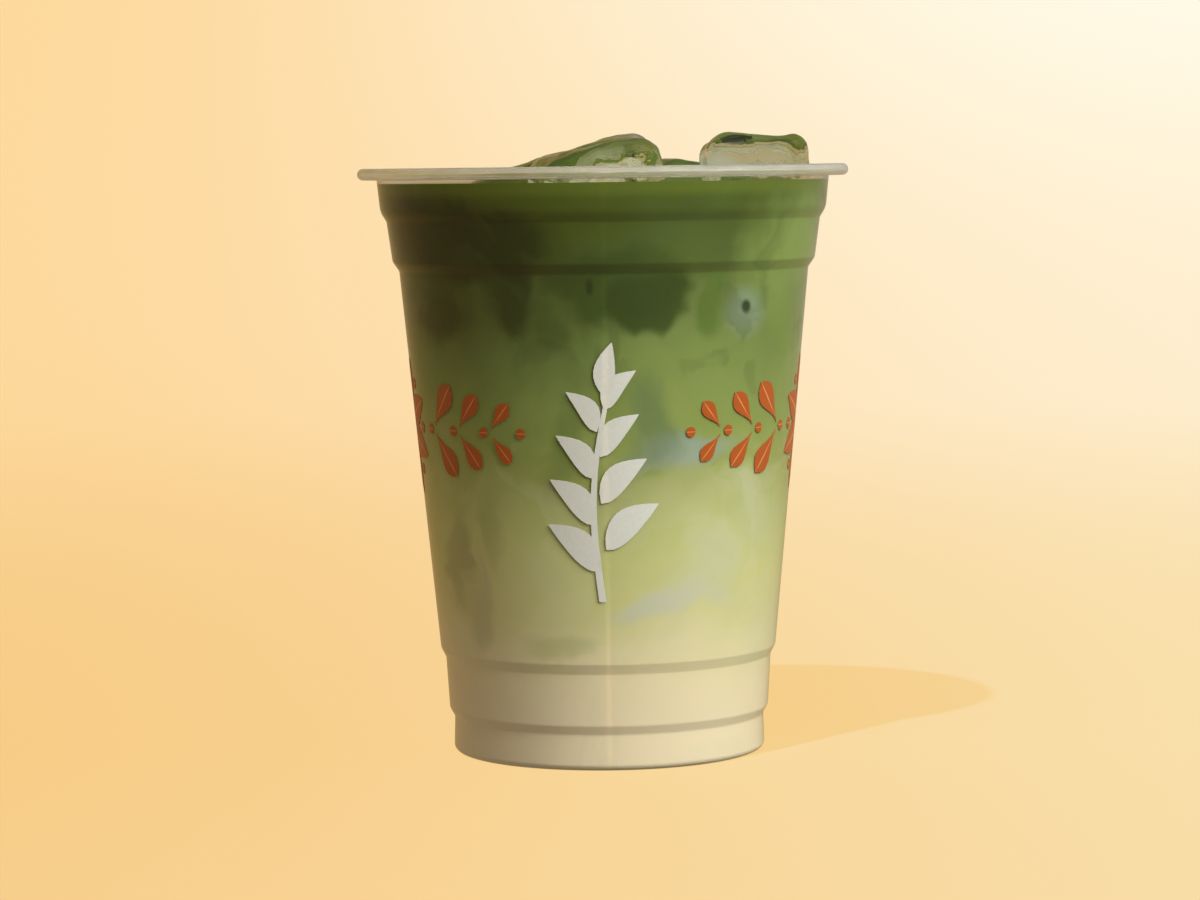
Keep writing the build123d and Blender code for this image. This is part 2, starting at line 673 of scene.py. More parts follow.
@dataclass(frozen=True)
class LayeredDrink:
    """Milk at the bottom, matcha at the top, the clouds where they run together, and a painted glow
    along the top.

    bands are (height in millimetres, colour) from the bottom up.
    """

    bands: tuple = (
        (9.0, "ecdfb9"), (17.0, "e9deb2"), (24.0, "dfdaa9"), (32.0, "d0d092"), (43.5, "c4c984"),
        (50.0, "b6be78"), (56.0, "a6b06a"), (62.0, "98a45b"), (70.0, "8a9c53"), (80.0, "7c904d"),
        (88.0, "6d8245"), (95.0, "5a6c35"), (102.0, "4f6230"), (113.0, "48591f"),
    )
    clouds: tuple = (
        Cloud((3.5, -42, 94.5), (11.0, 30, 8.5), "3b5022", 0.9, 0.3),
        Cloud((8.0, -42, 90.0), (7.5, 30, 6.0), "36491f", 0.9, 0.25),
        Cloud((-5.0, -42, 98.0), (6.0, 30, 5.0), "3a4e22", 0.7, 0.4),
        Cloud((-27.0, -32, 104.0), (17.0, 30, 8.5), "2a381b", 0.95, 0.3),
        Cloud((-19.0, -38, 92.5), (5.0, 30, 8.0), "2f3f1d", 0.85, 0.4),
        Cloud((-31.0, -28, 88.5), (4.0, 30, 6.5), "33421f", 0.8, 0.45),
        Cloud((-11.0, -40, 86.0), (3.0, 30, 4.5), "45592a", 0.6, 0.5),
        Cloud((21.5, -35, 91.0), (3.2, 30, 6.0), "56702f", 0.8, 0.4),
        Cloud((15.5, -39, 99.5), (8.0, 30, 4.5), "55682f", 0.5, 0.6),
        Cloud((33.5, -25, 86.0), (2.6, 30, 5.5), "6f8a3f", 0.6, 0.6),
        Cloud((36.0, -22, 100.0), (9.0, 30, 9.0), "86a052", 0.75, 0.6),
        Cloud((27.0, -31, 88.9), (3.2, 30, 3.9), "8a9f8c", 0.6, 0.7, True),
        Cloud((27.2, -31, 89.8), (0.85, 30, 1.25), "1c2f20", 0.95, 0.5, True),
        Cloud((-2.8, -42, 94.2), (0.7, 30, 1.5), "26351c", 0.8, 0.5, True),
        Cloud((14.5, -37, 64.5), (9.5, 30, 3.0), "93a79c", 0.75, 0.6),
        Cloud((8.0, -38, 68.5), (5.0, 30, 7.0), "5a7552", 0.6, 0.6),
        Cloud((-7.5, -38, 66.0), (3.0, 30, 9.0), "5f7539", 0.5, 0.6),
        Cloud((12.0, -35, 33.5), (9.5, 30, 2.6), "c6cbb6", 0.75, 0.6),
        Cloud((19.0, -33, 41.0), (5.0, 30, 5.5), "c3cba2", 0.65, 0.7),
        Cloud((27.5, -25, 50.0), (4.0, 30, 8.0), "bcc49a", 0.6, 0.6),
        Cloud((-29.5, -22, 40.0), (1.8, 30, 8.5), "8e9070", 0.45, 0.6),
        Cloud((-25.0, -24, 31.0), (2.2, 30, 9.5), "b4b08c", 0.45, 0.6),
        Cloud((-20.5, -26, 47.0), (2.4, 30, 7.5), "9ba568", 0.5, 0.6),
        Cloud((-9.0, -31, 25.5), (7.0, 30, 2.6), "b9bb82", 0.6, 0.6),
    )

    stir_scale: float = 38.0
    stir_reach: float = 0.021
    curl_scale: float = 120.0
    curl_reach: float = 0.005
    wisp_scale: float = 55.0
    sinking_wisp: str = "43552a"
    sinking_strength: float = 0.75
    rising_wisp: str = "d2d3b4"
    rising_strength: float = 0.35
    # painted light: a lighter, yellower glow put on the top of the drink
    surface: str = "66792c"
    top_glow_strength: float = 0.55
    roughness: float = 0.28
    gloss: float = 0.06
    bending: float = 1.35

    def banded(self, graph: Graph, place: bpy.types.NodeSocket) -> bpy.types.NodeSocket:
        """The colour of each height, with the bands hanging lower towards the left.

        Args:
            graph: the material's graph.
            place: the stirred coordinates.

        Returns:
            The colour's socket.
        """
        x, _, z = graph.add("SeparateXYZ", {0: place}).outputs
        leans = graph.math("MULTIPLY", graph.ramp(x, 0.012, -0.022), graph.ramp(z, 0.052, 0.082))
        deeper = graph.math("ADD", z, graph.math("MULTIPLY", leans, 0.010))
        low, high = self.bands[0][0] * MM, self.bands[-1][0] * MM
        share = graph.ramp(deeper, low, high, smooth=False)
        bands = graph.add("ValToRGB", {"Fac": share})
        colours = bands.color_ramp.elements
        for i, (height, code) in enumerate(self.bands):
            at = (height * MM - low) / (high - low)
            stop = colours[i] if i < 2 else colours.new(at)
            stop.position = at
            stop.color = tint(code)
        return bands.outputs["Color"]

    def wisps(self, graph: Graph, place: bpy.types.NodeSocket,
              shade: bpy.types.NodeSocket) -> bpy.types.NodeSocket:
        """Adds matcha that sinks and milk that rises in wisps, stronger towards the back.

        Args:
            graph: the material's graph.
            place: the stirred coordinates.
            shade: the colour so far.

        Returns:
            The colour's socket.
        """
        _, y, z = graph.add("SeparateXYZ", {0: place}).outputs
        noise = graph.add(
            "TexNoise",
            {"Vector": place, "Scale": self.wisp_scale, "Detail": 2.0, "Distortion": 1.2},
        ).outputs["Fac"]
        back = graph.math("ADD", graph.math("MULTIPLY", graph.ramp(y, -0.012, 0.006), 0.6), 0.4)
        sinking = graph.math("MULTIPLY", graph.ramp(noise, 0.52, 0.62), graph.ramp(z, 0.068, 0.086))
        rising = graph.math("MULTIPLY", graph.ramp(noise, 0.47, 0.38), graph.ramp(z, 0.072, 0.056))
        for mask, strength, code in (
            (sinking, self.sinking_strength, self.sinking_wisp),
            (rising, self.rising_strength, self.rising_wisp),
        ):
            amount = graph.math("MULTIPLY", graph.math("MULTIPLY", mask, back), strength)
            shade = graph.mix(amount, shade, tint(code))
        return shade

    def material(self, effects: Effects) -> bpy.types.Material:
        """Builds the material from its bands, clouds and the noise that stirs them.

        Args:
            effects: the shared node groups.

        Returns:
            The material.
        """
        material, graph, out = new_material("layered_drink")
        place = graph.add("TexCoord").outputs["Object"]
        slow = graph.group(
            effects.swirl, {"Vector": place, "Scale": self.stir_scale, "Reach": self.stir_reach}
        )
        stirred = graph.group(
            effects.swirl,
            {"Vector": slow.outputs[0], "Scale": self.curl_scale, "Reach": self.curl_reach},
        ).outputs[0]
        shade = self.banded(graph, stirred)
        for cloud in self.clouds:
            mask = graph.group(
                effects.patch,
                {"Vector": place if cloud.still else stirred,
                 "Centre": [c * MM for c in cloud.centre],
                 "Size": [length * MM for length in cloud.size], "Softness": cloud.softness},
            )
            amount = graph.math("MULTIPLY", mask.outputs["Mask"], cloud.strength)
            shade = graph.mix(amount, shade, tint(cloud.colour))
        shade = self.wisps(graph, stirred, shade)
        # Painted light: the top of the drink is made lighter as a glow; the same mask makes its top
        # face wet.
        top = graph.ramp(graph.add("SeparateXYZ", {0: place}).outputs["Z"], 0.1105, 0.1128)
        shade = graph.mix(
            graph.math("MULTIPLY", top, self.top_glow_strength), shade, tint(self.surface)
        )
        facing = graph.add("SeparateXYZ", {0: graph.add("NewGeometry").outputs["Normal"]})
        wet = graph.math("MULTIPLY", top, graph.ramp(facing.outputs["Z"], 0.3, 0.7))
        grain = graph.group(effects.grain, {"Vector": place, "Scale": 500.0, "Strength": 0.3})
        rough = graph.math("MULTIPLY", grain.outputs["Value"], self.roughness)
        shader = graph.add(
            "BsdfPrincipled",
            {"Base Color": shade, "Roughness": rough, "Specular IOR Level": self.gloss,
             "IOR": self.bending, "Coat Weight": wet, "Coat Roughness": 0.05, "Coat IOR": 1.33},
        )
        graph.tree.links.new(shader.outputs[0], out.inputs["Surface"])
        return material


@dataclass(frozen=True)
class Ink:
    """Screen-printed ink, with a rib along each leaf.

    rib is its colour, and rib_width its half width as a share of the leaf's.
    """

    name: str
    colour: str
    rib: str
    rib_width: float = 0.05
    worn: float = 0.16
    roughness: float = 0.42
    gloss: float = 0.35

    def material(self, effects: Effects) -> bpy.types.Material:
        """Builds the material on each leaf's own map.

        Args:
            effects: the shared node groups.

        Returns:
            The material.
        """
        material, graph, out = new_material(self.name)
        coords = graph.add("TexCoord")
        across = graph.add("SeparateXYZ", {0: coords.outputs["UV"]})
        middle = graph.math("ABSOLUTE", graph.math("SUBTRACT", across.outputs["Y"], 0.5))
        rib = graph.ramp(middle, self.rib_width, self.rib_width * 0.35)
        grain = graph.group(
            effects.grain, {"Vector": coords.outputs["Object"], "Scale": 1400.0, "Strength": self.worn}
        )
        ink = graph.mix(rib, tint(self.colour), tint(self.rib))
        uneven = graph.mix(1.0, ink, grain.outputs["Value"], "MULTIPLY")
        shader = graph.add(
            "BsdfPrincipled",
            {"Base Color": uneven, "Roughness": self.roughness, "Specular IOR Level": self.gloss},
        )
        graph.tree.links.new(shader.outputs[0], out.inputs["Surface"])
        return material


# ---- The cup -------------------------------------------------------------------------


@dataclass
class Cup:
    """The thermoformed cup. Its bands are (height, change of radius), as in its mould."""

    wall: float = 0.5
    mouth_radius: float = 45.25
    foot_radius: float = 31.3
    rim_height: float = 2.3
    curl_gap: float = 0.9
    tip_cut: float = 0.1  # off the corners of the curl's turned-in edge
    upper_bands: tuple = ((7.5, 0.75), (1.9, 1.2), (8.0, 1.1), (1.9, 1.3))
    lower_bands: tuple = ((7.0, -0.2), (1.8, 1.0), (10.2, 0.6), (2.0, 1.0))
    ring_width: float = 4.2
    floor_rise: float = 2.0
    riser_lean: float = 1.6
    rounds: tuple = (4.5, 1.1, 1.5, 1.1, 1.5, 1.1, 1.5, 1.1, 1.3, 0.9, 0.9)
    milky_below: float = 1.3  # how far down the wall the rim's milkiness goes
    steps: int = 224
    height: float = field(init=False)
    rim_radius: float = field(init=False)

    def __post_init__(self) -> None:
        """Takes the overall sizes from the frame."""
        low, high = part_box("cup")
        self.height = high.z / MM
        self.rim_radius = (high.x - low.x) / 2 / MM

    def outside(self) -> list[Point]:
        """Corners of the outside, from the rim's middle down the wall and in to the axis.

        Returns:
            The (radius, height) corners.
        """
        down = [(self.mouth_radius, self.height - self.rim_height / 2)]
        for drop, narrower in self.upper_bands:
            down.append((down[-1][0] - narrower, down[-1][1] - drop))
        up = [(self.foot_radius, 0.0)]
        for rise, wider in self.lower_bands:
            up.append((up[-1][0] + wider, up[-1][1] + rise))
        ring = self.foot_radius - self.ring_width
        return down + up[::-1] + [
            (ring, 0.0), (ring - self.riser_lean, self.floor_rise), (0.0, self.floor_rise)
        ]

    def line_at(self, depth: float) -> list[Point]:
        """Corners of the line that lies this deep in the wall."""
        return beside(self.outside(), depth)

    def radii_at(self, depth: float) -> list[float]:
        """Radii of that line's corners: less outside a bend, more inside it.

        Args:
            depth: how deep in the wall the line lies.

        Returns:
            One radius for each corner but the first and last.
        """
        radii = []
        corners = self.outside()
        for (x0, z0), (x1, z1), (x2, z2), radius in zip(
            corners, corners[1:], corners[2:], self.rounds
        ):
            bends_out = (x1 - x0) * (z2 - z1) < (z1 - z0) * (x2 - x1)
            radii.append(radius - depth if bends_out else radius + depth)
        return radii

    def rim(self) -> list[Point]:
        """The rolled rim, from the wall's outside round the curl to the wall's inside.

        Returns:
            The (radius, height) points.
        """
        curl = self.rim_height / 2
        core = curl - self.wall
        middle = self.height - curl
        over_wall = (self.mouth_radius - self.wall + curl, middle)
        over_edge = (self.rim_radius - curl, middle)
        tip = self.mouth_radius + self.curl_gap
        under = self.height - self.rim_height
        return (
            arc(over_wall, core, 180, 90)
            + arc(over_edge, core, 90, -90, 16)
            + [(tip + self.tip_cut, under + self.wall), (tip, under + self.wall - self.tip_cut)]
            + [(tip, under + self.tip_cut), (tip + self.tip_cut, under)]
            + arc(over_edge, curl, -90, 90, 20)
            + arc(over_wall, curl, 90, 180, 12)
        )

    def radius_at(self, z: float) -> float:
        """Outside radius of the wall at a height."""
        return height_on(self.outside(), z)

    def build(self, finish: bpy.types.Material, rim: bpy.types.Material) -> bpy.types.Object:
        """Makes the cup.

        Args:
            finish: the wall's material.
            rim: the rolled rim's material.

        Returns:
            The cup's shell.
        """
        outer = rounded(self.outside(), self.rounds)
        inner = rounded(self.line_at(self.wall), self.radii_at(self.wall))
        cup = turned("cup_shell", outer[::-1] + self.rim()[1:-1] + inner, self.steps)
        dressed(cup, finish)
        cup.data.materials.append(rim)
        underside = (self.height - self.rim_height - self.milky_below) * MM
        for face in cup.data.polygons:
            face.material_index = 1 if face.center.z > underside else 0
        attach(cup, "root")
        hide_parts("cup")
        return cup


# ---- The ice -------------------------------------------------------------------------


@dataclass
class IceCube:
    """A melting ice cube, worked from the frame's plain one.

    melt and ripple are how far its slow and its small unevenness go, and shift is which
    part of the noise it takes.
    """

    node: str
    melt: float
    shift: tuple[float, float, float]
    ripple: float = 0.5
    grain: float = 0.55
    melt_size: float = 11.0
    ripple_size: float = 4.0
    noise_middle: float = 0.62

    def build(self, finish: bpy.types.Material) -> bpy.types.Object:
        """Makes the cube uneven and softens its edges.

        Args:
            finish: its material.

        Returns:
            The cube.
        """
        cube = copy_of(self.node, self.node.replace("ice", "melting_ice"))
        centre = sum(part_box(self.node), Vector()) / 2
        apply_modifier(cube, "REMESH", mode="VOXEL", voxel_size=self.grain * MM)
        apply_modifier(cube, "SMOOTH", factor=0.5, iterations=8)
        moved = centre + Vector(self.shift) * MM
        in_edit(cube, lambda: bpy.ops.transform.translate(value=-moved))
        for size, strength in ((self.melt_size, self.melt), (self.ripple_size, self.ripple)):
            cloud = bpy.data.textures.new(f"{self.node}_{size:.0f}", "CLOUDS")
            cloud.noise_scale = size * MM
            apply_modifier(
                cube, "DISPLACE", texture=cloud, strength=strength * MM, mid_level=self.noise_middle
            )
        apply_modifier(cube, "SMOOTH", factor=0.5, iterations=4)
        in_edit(cube, lambda: bpy.ops.transform.translate(value=moved))
        only(cube)
        bpy.ops.object.shade_smooth()
        dressed(cube, finish)
        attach(cube, "root")
        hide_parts(self.node)
        return cube


# ---- The drink -----------------------------------------------------------------------


@dataclass
class Drink:
    """The drink: one body from the cup's floor to its surface, with pockets for the ice."""

    cup: Cup
    bite: float = 0.22  # how far it reaches into the wall
    rise: float = 1.2  # of the meniscus at the wall
    reach: float = 2.0  # how far in from the wall it starts
    ring_gap: float = 0.55  # between the rings of faces on its surface
    clasp: float = 0.14  # how far a pocket's wall stands inside the ice
    ice_rise: float = 0.9  # how high it climbs the ice
    ice_reach: float = 1.1  # how fast that dies away from the ice
    steps: int = 240
    level: float = field(init=False)

    def __post_init__(self) -> None:
        """Takes the level from the frame."""
        self.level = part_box("matcha_layer")[1].z / MM - self.rise

    def outline(self) -> list[Point]:
        """Its section, from the axis under it, up the wall and in over its surface.

        Returns:
            The (radius, height) points.
        """
        depth = self.cup.wall - self.bite
        top = self.level + self.rise
        side = self.cup.line_at(depth)
        radii = self.cup.radii_at(depth)
        side[0] = (height_on(side, top), top)
        shore = height_on(self.cup.line_at(self.cup.wall), top)
        start = shore - self.reach
        bend = (self.reach**2 + self.rise**2) / (2 * self.rise)
        sweep = math.degrees(math.asin(self.reach / bend))
        climb = arc((start, self.level + bend), bend, sweep - 90, -90, 8)
        rings = round(start / self.ring_gap)
        surface = [(start * (rings - i) / rings, self.level) for i in range(1, rings + 1)]
        return rounded(side, radii)[::-1] + climb + surface

    def raise_shores(self, drink: bpy.types.Object, ice: BVHTree) -> None:
        """Lifts the surface where it climbs the ice.

        Args:
            drink: the drink before its pockets are cut.
            ice: all the ice.
        """
        for vertex in drink.data.vertices:
            place = vertex.co
            on_top = abs(place.z - self.level * MM) < 0.01 * MM
            if not on_top:
                continue
            near, normal, _, distance = ice.find_nearest(place)
            within = (place - near).dot(normal) < 0
            away = 0.0 if within else distance / MM
            place.z += self.ice_rise * MM * math.exp(-away / self.ice_reach)

    def build(self, cubes: Sequence[bpy.types.Object], finish: bpy.types.Material) -> bpy.types.Object:
        """Makes the drink round the ice.

        Args:
            cubes: the finished ice cubes.
            finish: its material.

        Returns:
            The drink.
        """
        drink = turned("layered_latte", self.outline(), self.steps)
        moulds = []
        for cube in cubes:
            only(cube)
            bpy.ops.object.duplicate()
            moulds.append(bpy.context.view_layer.objects.active)
        mould = joined("pocket_mould", moulds)
        mould.parent = None
        depsgraph = bpy.context.evaluated_depsgraph_get()
        self.raise_shores(drink, BVHTree.FromObject(mould, depsgraph))
        in_edit(mould, lambda: bpy.ops.transform.shrink_fatten(value=-self.clasp * MM))
        apply_modifier(drink, "BOOLEAN", operation="DIFFERENCE", object=mould, solver="EXACT")
        bpy.data.objects.remove(mould)
        only(drink)
        bpy.ops.object.shade_smooth_by_angle(angle=CORNER_ANGLE)
        dressed(drink, finish)
        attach(drink, "root")
        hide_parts("matcha_layer", "blended_layer", "milk_layer")
        return drink


# ---- The prints ----------------------------------------------------------------------


class Shape(Enum):
    """Outlines that the prints are made of."""

    LEAF = "leaf"
    DROP = "drop"
    STEM = "stem"


@dataclass(frozen=True)
class Mark:
    """One printed shape: its root, length, width, direction in degrees and its bow."""

    shape: Shape
    at: Point
    length: float
    width: float
    angle: float
    bow: float = 0.0

    def half_width(self, along: float) -> float:
        """Half of the mark's width.

        Args:
            along: where, as a share of its length.

        Returns:
            Half of its width there.
        """
        along = min(max(along, 0.0), 1.0)
        if self.shape is Shape.STEM:
            return self.width / 2 * (1 - 0.45 * along)
        lean = 0.8 if self.shape is Shape.LEAF else 1.9
        return self.width / 2 * max(math.sin(math.pi * along**lean), 0.02) ** 0.85

    def build(self) -> bpy.types.Object:
        """Makes the mark flat in the XY plane, in millimetres, with a map along it.

        Returns:
            The flat mark.
        """
        columns = max(8, round(self.length / 1.2))
        bpy.ops.mesh.primitive_grid_add(x_subdivisions=columns, y_subdivisions=4, size=1.0)
        mark = bpy.context.view_layer.objects.active
        turn = math.radians(self.angle)
        for vertex in mark.data.vertices:
            along = vertex.co.x + 0.5
            side = vertex.co.y * 2 * self.half_width(along)
            side += self.bow * math.sin(math.pi * along)
            run = along * self.length
            vertex.co.x = self.at[0] + run * math.cos(turn) - side * math.sin(turn)
            vertex.co.y = self.at[1] + run * math.sin(turn) + side * math.cos(turn)
        return mark


@dataclass
class Print:
    """A print on the cup's wall: its marks, and where its middle lies."""

    name: str
    cup: Cup
    azimuth: float
    height: float
    slot: str
    lift: float = 0.015
    thickness: float = 0.04

    def marks(self) -> list[Mark]:
        """The marks that make up the print."""
        return []

    def dots(self) -> list[tuple[Point, float]]:
        """Middles and radii of its round dots."""
        return []

    def dot(self, at: Point, radius: float) -> bpy.types.Object:
        """Makes a flat round dot in the XY plane, in millimetres.

        Args:
            at: its middle.
            radius: its radius.

        Returns:
            The dot.
        """
        bpy.ops.mesh.primitive_circle_add(
            vertices=28, radius=radius, fill_type="TRIFAN", location=(at[0], at[1], 0)
        )
        made = bpy.context.view_layer.objects.active
        settle(made)
        return made

    def wrap(self, flat: bpy.types.Object) -> None:
        """Lays a flat print on the tapered wall.

        Args:
            flat: the print in the XY plane, in millimetres, round its middle.
        """
        for vertex in flat.data.vertices:
            z = self.height + vertex.co.y
            radius = self.cup.radius_at(z)
            turn = math.radians(self.azimuth) + vertex.co.x / self.cup.radius_at(self.height)
            out = (radius + self.lift) * MM
            vertex.co = (out * math.sin(turn), -out * math.cos(turn), z * MM)

    def build(self, finish: bpy.types.Material) -> bpy.types.Object:
        """Makes the print.

        Args:
            finish: its ink.

        Returns:
            The print, a thin skin on the wall.
        """
        flats = [mark.build() for mark in self.marks()]
        flats += [self.dot(at, radius) for at, radius in self.dots()]
        made = joined(self.name, flats)
        self.wrap(made)
        in_edit(made, lambda: bpy.ops.mesh.remove_doubles(threshold=0.001 * MM))
        apply_modifier(made, "SOLIDIFY", thickness=self.thickness * MM, offset=1.0)
        only(made)
        bpy.ops.object.shade_smooth_by_angle(angle=math.radians(40))
        dressed(made, finish)
        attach(made, "root")
        return made


@dataclass
class TeaSprig(Print):
    """A tall tea sprig: a bowed stem with pairs of leaves and a bud."""

    stem_foot: Point = (-1.0, -25.0)
    stem_length: float = 40.0
    pairs: int = 4
    first_pair: float = -19.0
    pair_pitch: float = 9.0
    stagger: float = 4.2  # how much higher the right leaf of a pair sits
    leaf_length: float = 13.5
    leaf_width: float = 5.6

    def marks(self) -> list[Mark]:
        """The stem, its leaves and the bud.

        Returns:
            The marks.
        """
        marks = [Mark(Shape.STEM, self.stem_foot, self.stem_length, 1.5, 88.0, 2.2)]
        for i in range(self.pairs):
            height = self.first_pair + self.pair_pitch * i
            length, width = ((1.0 - 0.1 * i) * size for size in (self.leaf_length, self.leaf_width))
            along = (height - self.stem_foot[1]) / self.stem_length
            foot = -1.9 * math.sin(math.pi * along)
            marks.append(Mark(Shape.LEAF, (foot - 0.7, height), length, width, 138 - 4 * i, -1.3))
            right = (foot + 0.7, height + self.stagger)
            marks.append(Mark(Shape.LEAF, right, length, width, 40 + 4 * i, 1.3))
        marks.append(Mark(Shape.LEAF, (0.1, 14.6), 10.5, 4.0, 84.0, 0.8))
        return marks


@dataclass
class Rosette(Print):
    """A round rosette with a row of drops and dots running out to either side."""

    petals: int = 8
    petal_root: float = 2.6
    petal_length: float = 12.0
    petal_width: float = 6.2
    drop_length: float = 10.5
    drop_width: float = 5.0
    drop_sizes: tuple = (1.0, 0.8, 0.62)
    first_drop: float = 19.0
    drop_pitch: float = 8.6
    drop_tilt: float = 50.0
    drop_lift: float = 0.8  # of a drop's foot from the row's middle
    dot_ring: float = 12.0
    first_dot: float = 17.0

    def marks(self) -> list[Mark]:
        """The petals and the paired drops beside them.

        Returns:
            The marks.
        """
        marks = []
        for i in range(self.petals):
            angle = 360 * (i + 0.5) / self.petals
            turn = math.radians(angle)
            root = (self.petal_root * math.cos(turn), self.petal_root * math.sin(turn))
            marks.append(Mark(Shape.LEAF, root, self.petal_length, self.petal_width, angle))
        for side in (-1, 1):
            for i, size in enumerate(self.drop_sizes):
                x = side * (self.first_drop + self.drop_pitch * i)
                for up in (1, -1):
                    tilt = up * self.drop_tilt
                    angle = tilt if side > 0 else 180 - tilt
                    length, width = self.drop_length * size, self.drop_width * size
                    marks.append(Mark(Shape.DROP, (x, up * self.drop_lift), length, width, angle))
        return marks

    def dots(self) -> list[tuple[Point, float]]:
        """The middle, the ring of dots round it and the one before each pair of drops.

        Returns:
            The (middle, radius) of each dot.
        """
        dots = [((0.0, 0.0), 1.7)]
        for i in range(self.petals):
            turn = math.tau * i / self.petals
            dots.append(((self.dot_ring * math.cos(turn), self.dot_ring * math.sin(turn)), 1.1))
        for side in (-1, 1):
            for i in range(len(self.drop_sizes) + 1):
                dots.append(((side * (self.first_dot + self.drop_pitch * i), 0.0), 1.0))
        return dots


# ---- The room for it -----------------------------------------------------------------


@dataclass
class Studio:
    """The floor that curves up into a backdrop all round, the lamps and the camera."""

    floor_radius: float = 1.3
    curve_radius: float = 0.9
    wall_top: float = 2.4
    wall_steps: int = 96
    camera_side: float = -0.0005
    camera_distance: float = 0.733
    camera_height: float = 0.117
    camera_tilt: float = 4.44
    camera_roll: float = 0.7
    lens: float = 109.7
    aim: float = 0.07  # height that the lamps face
    left: str = "fdcd80"
    right: str = "ffe5bf"
    bright: str = "fff7e4"  # at the top right
    near_tint: Colour = (0.95, 0.86, 0.58, 1.0)  # round the cup
    paper: Colour = (0.24, 0.77, 1.0, 1.0)  # of the share that takes the shadow
    mirror_tint: Colour = (0.42, 0.42, 0.42, 1.0)  # how much of it reflections show
    bounce: Colour = (0.15, 0.132, 0.125, 1.0)  # what it sheds on the drink
    glow: float = 0.86  # the share of its own colour, without shadow
    glow_strength: float = 1.12
    steady: float = 0.97  # the same share for reflected and bounced light
    air: Colour = (1.0, 0.94, 0.93, 1.0)
    air_strength: float = 0.29
    sweep: bpy.types.Object = field(init=False)

    def backdrop(self) -> None:
        """Makes the floor and backdrop in one sweep, warm and pale."""
        floor, curve = self.floor_radius / MM, self.curve_radius / MM
        bend = arc((floor, curve), curve, -90, 0, 24)
        rings = [(floor * i / 12, 0.0) for i in range(12)]
        wall = [(floor + curve, self.wall_top / MM)]
        sweep = turned("backdrop", rings + bend + wall, self.wall_steps)
        in_edit(sweep, lambda: bpy.ops.mesh.normals_make_consistent(inside=True))
        material, graph, out = new_material("backdrop_paper")
        place = graph.add("SeparateXYZ", {0: graph.add("TexCoord").outputs["Object"]})
        depth = graph.math("ADD", graph.math("ABSOLUTE", place.outputs["Y"]), 0.9)
        across = graph.math("DIVIDE", place.outputs["X"], depth)
        seen = graph.mix(graph.ramp(across, -0.17, 0.19), tint(self.left), tint(self.right))
        above = graph.math(
            "MULTIPLY", graph.ramp(place.outputs["Z"], 0.0, 0.30), graph.ramp(across, -0.12, 0.17)
        )
        seen = graph.mix(graph.math("MULTIPLY", above, 0.75), seen, tint(self.bright))
        away = graph.add("VectorMath", {0: graph.add("TexCoord").outputs["Object"]}, operation="LENGTH")
        near = graph.ramp(away.outputs["Value"], 1.2, 0.05)
        seen = graph.mix(near, seen, self.near_tint, "MULTIPLY")
        path = graph.add("LightPath")
        mirrored = graph.mix(path.outputs["Is Glossy Ray"], (1.0, 1.0, 1.0, 1.0), self.mirror_tint)
        seen = graph.mix(1.0, seen, mirrored, "MULTIPLY")
        seen = graph.mix(path.outputs["Is Diffuse Ray"], seen, self.bounce)
        indirect = graph.math("MAXIMUM", path.outputs["Is Glossy Ray"], path.outputs["Is Diffuse Ray"])
        share = graph.math("MAXIMUM", graph.math("MULTIPLY", indirect, self.steady), self.glow)
        paper = graph.add("BsdfDiffuse", {"Color": self.paper})
        shown = graph.add("Emission", {"Color": seen, "Strength": self.glow_strength})
        mixed = graph.add("MixShader", {0: share, 1: paper.outputs[0], 2: shown.outputs[0]})
        graph.tree.links.new(mixed.outputs[0], out.inputs["Surface"])
        dressed(sweep, material)
        self.sweep = sweep

    def hang(self, light: bpy.types.Light, azimuth: float, elevation: float, distance: float,
             state: str) -> bpy.types.Object:
        """Hangs a light where it faces the drink, and says what it lights.

        Args:
            light: the light.
            azimuth: degrees from the front round to the right.
            elevation: degrees above the drink's middle.
            distance: metres from the drink's middle.
            state: INCLUDE to light only the backdrop, EXCLUDE to light all but the backdrop.

        Returns:
            The lamp.
        """
        turn, up = math.radians(azimuth), math.radians(elevation)
        away = Vector((math.sin(turn) * math.cos(up), -math.cos(turn) * math.cos(up), math.sin(up)))
        lamp = bpy.data.objects.new(light.name, light)
        lamp.location = Vector((0, 0, self.aim)) + away * distance
        lamp.rotation_euler = away.to_track_quat("Z", "Y").to_euler()
        bpy.context.scene.collection.objects.link(lamp)
        lit = bpy.data.collections.new(f"lit_by_{lamp.name}")
        lit.objects.link(self.sweep)
        lit.collection_objects[0].light_linking.link_state = state
        lamp.light_linking.receiver_collection = lit
        return lamp

    def lamp(self, name: str, azimuth: float, elevation: float, distance: float, size: float,
             power: float, mirrored: bool = True, colour: tuple = (1.0, 1.0, 1.0)) -> None:
        """Hangs a square soft lamp that lights all but the backdrop.

        Args:
            name: the lamp's name.
            azimuth: degrees from the front round to the right.
            elevation: degrees above the drink's middle.
            distance: metres from the drink's middle.
            size: metres along each side.
            power: watts.
            mirrored: whether it shows in reflections.
            colour: its colour.
        """
        light = bpy.data.lights.new(name, "AREA")
        light.size = size
        light.energy = power
        light.color = colour
        lamp = self.hang(light, azimuth, elevation, distance, "EXCLUDE")
        lamp.visible_glossy = mirrored
        lamp.visible_camera = False
        lamp.visible_transmission = False

    def floor_sun(self, azimuth: float, elevation: float, spread: float, power: float) -> None:
        """Lights the backdrop alone, from one side, so that the cup throws a shadow on it.

        Args:
            azimuth: degrees from the front round to the right.
            elevation: degrees above the floor.
            spread: how wide the light is, in degrees.
            power: watts on each square metre.
        """
        light = bpy.data.lights.new("floor_sun", "SUN")
        light.energy = power
        light.angle = math.radians(spread)
        self.hang(light, azimuth, elevation, 1.0, "INCLUDE")

